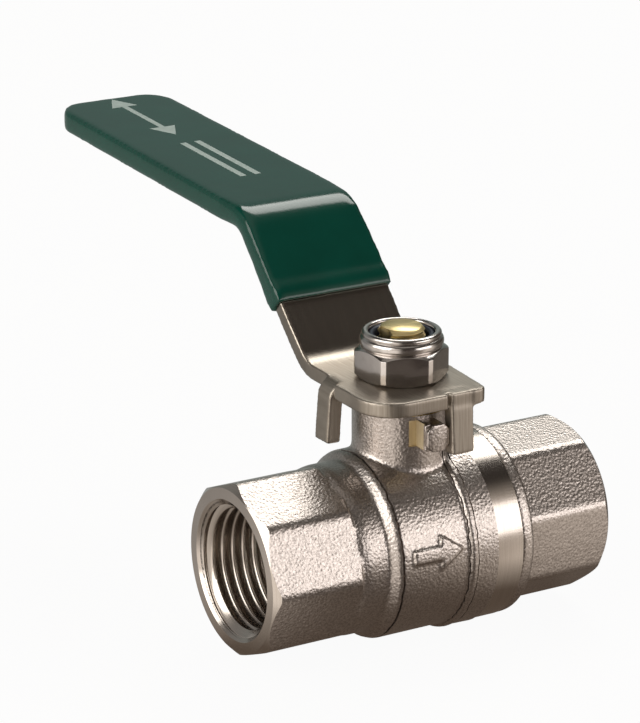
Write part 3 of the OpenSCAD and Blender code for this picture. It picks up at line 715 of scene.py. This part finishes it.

# A painted board: matt and slightly warm white, evened out by a glow of its own. To the
# valve's reflections it glows otherwise: a painted reflection of the room's walls, and a
# painted shadow of dark brown close by, where the valve would shade it.
white_table, tree, shader = material("white_table", Base_Color=linear("#dedad4"), Roughness=0.7)
seen_share, painted_reflection_share = 0.95, 0.92
painted_shade_near, painted_shade_far = 18, 40
path = add(tree, "LightPath")
glow = add(tree, "Emission", Color=(1, 1, 1, 1), Strength=1)
spot = add(tree, "TexCoord")
around = add(tree, "TexGradient", {"Vector": (spot, "Object")}, gradient_type="RADIAL")
walls = add(tree, "ValToRGB", {"Fac": (around, "Fac")}, walls_round)
flattened = add(tree, "Mapping", {"Vector": (spot, "Object")}, Scale=(0.5, 1, 1))
away = add(tree, "VectorMath", {0: (flattened, "Vector")}, operation="LENGTH")
painted_shade_fade = add(tree, "MapRange", {"Value": (away, "Value")}, From_Min=painted_shade_near * MM,
               From_Max=painted_shade_far * MM)
painted_reflection = add(tree, "Mix", {0: (painted_shade_fade, "Result"), mix_b: (walls, "Color")}, data_type="RGBA")
# Painted shadow: the dark brown that the table glows to reflected rays close by the valve.
painted_reflection.inputs[mix_a].default_value = linear("#554a41")
# Painted reflection: to reflected rays the table glows with the room's walls, at a strength of 1.4.
painted_reflection_glow = add(tree, "Emission", {"Color": (painted_reflection, mixed)}, Strength=1.4)
seen = add(tree, "Math", {0: (path, "Is Camera Ray"), 1: (path, "Is Transmission Ray")},
           operation="MAXIMUM")
seen_part = add(tree, "Math", {0: (seen, "Value")}, operation="MULTIPLY")
seen_part.inputs[1].default_value = seen_share
evened = add(tree, "MixShader", {"Fac": (seen_part, "Value"), 1: (shader, "BSDF"), 2: (glow, "Emission")})
painted_reflection_part = add(tree, "Math", {0: (path, "Is Glossy Ray")}, operation="MULTIPLY")
painted_reflection_part.inputs[1].default_value = painted_reflection_share
board = add(tree, "MixShader", {"Fac": (painted_reflection_part, "Value"), 1: (evened, "Shader"),
                                2: (painted_reflection_glow, "Emission")})
wire(tree.nodes["Material Output"], {"Surface": (board, "Shader")})
floor.data.materials.append(white_table)

# The room: its walls, a dark ceiling that brightens to the zenith, and white to the camera.
world = bpy.data.worlds.new("room")
bpy.context.scene.world = world
world.use_nodes = True
tree = world.node_tree
path = add(tree, "LightPath")
spot = add(tree, "TexCoord")
around = add(tree, "TexGradient", {"Vector": (spot, "Generated")}, gradient_type="RADIAL")
walls = add(tree, "ValToRGB", {"Fac": (around, "Fac")}, walls_round)
parts = add(tree, "SeparateXYZ", {0: (spot, "Generated")})
ceiling = add(tree, "ValToRGB", {"Fac": (parts, "Z")}, [(0.86, "#2c2724"), (0.95, "#a39d97")])
rise = add(tree, "MapRange", {"Value": (parts, "Z")}, From_Min=0.5, From_Max=0.75)
room = add(tree, "Mix", {0: (rise, "Result"), mix_a: (walls, "Color"), mix_b: (ceiling, "Color")},
           data_type="RGBA")
backdrop = add(tree, "Mix", {0: (path, "Is Camera Ray"), mix_a: (room, mixed)}, data_type="RGBA")
backdrop.inputs[mix_b].default_value = (1, 1, 1, 1)
wire(tree.nodes["Background"], {"Color": (backdrop, mixed)})


def soft_box(name, towards, width, height, watts, colour):
    """A rectangular lamp a metre from the valve, in the direction towards as seen from there."""
    data = bpy.data.lights.new(name, "AREA")
    data.shape, data.size, data.size_y = "RECTANGLE", width, height
    data.energy, data.color = watts, linear(colour)[:3]
    lamp = bpy.data.objects.new(name, data)
    bpy.context.scene.collection.objects.link(lamp)
    away = Vector(towards).normalized()
    lamp.location = Vector((stem_axis_x, 0.01, 0.01)) + away
    lamp.rotation_mode = "QUATERNION"
    lamp.rotation_quaternion = (-away).to_track_quat("-Z", "Y")


soft_box("overhead", (0.48, 0.4, 0.78), 0.7, 0.36, 4.3, "#fffdf9")
soft_box("right_front", (0.52, -0.82, 0.2), 0.8, 0.6, 3.5, "#fefaf9")
soft_box("left", (-0.88, -0.04, 0.42), 0.9, 0.8, 6.6, "#fffdf9")
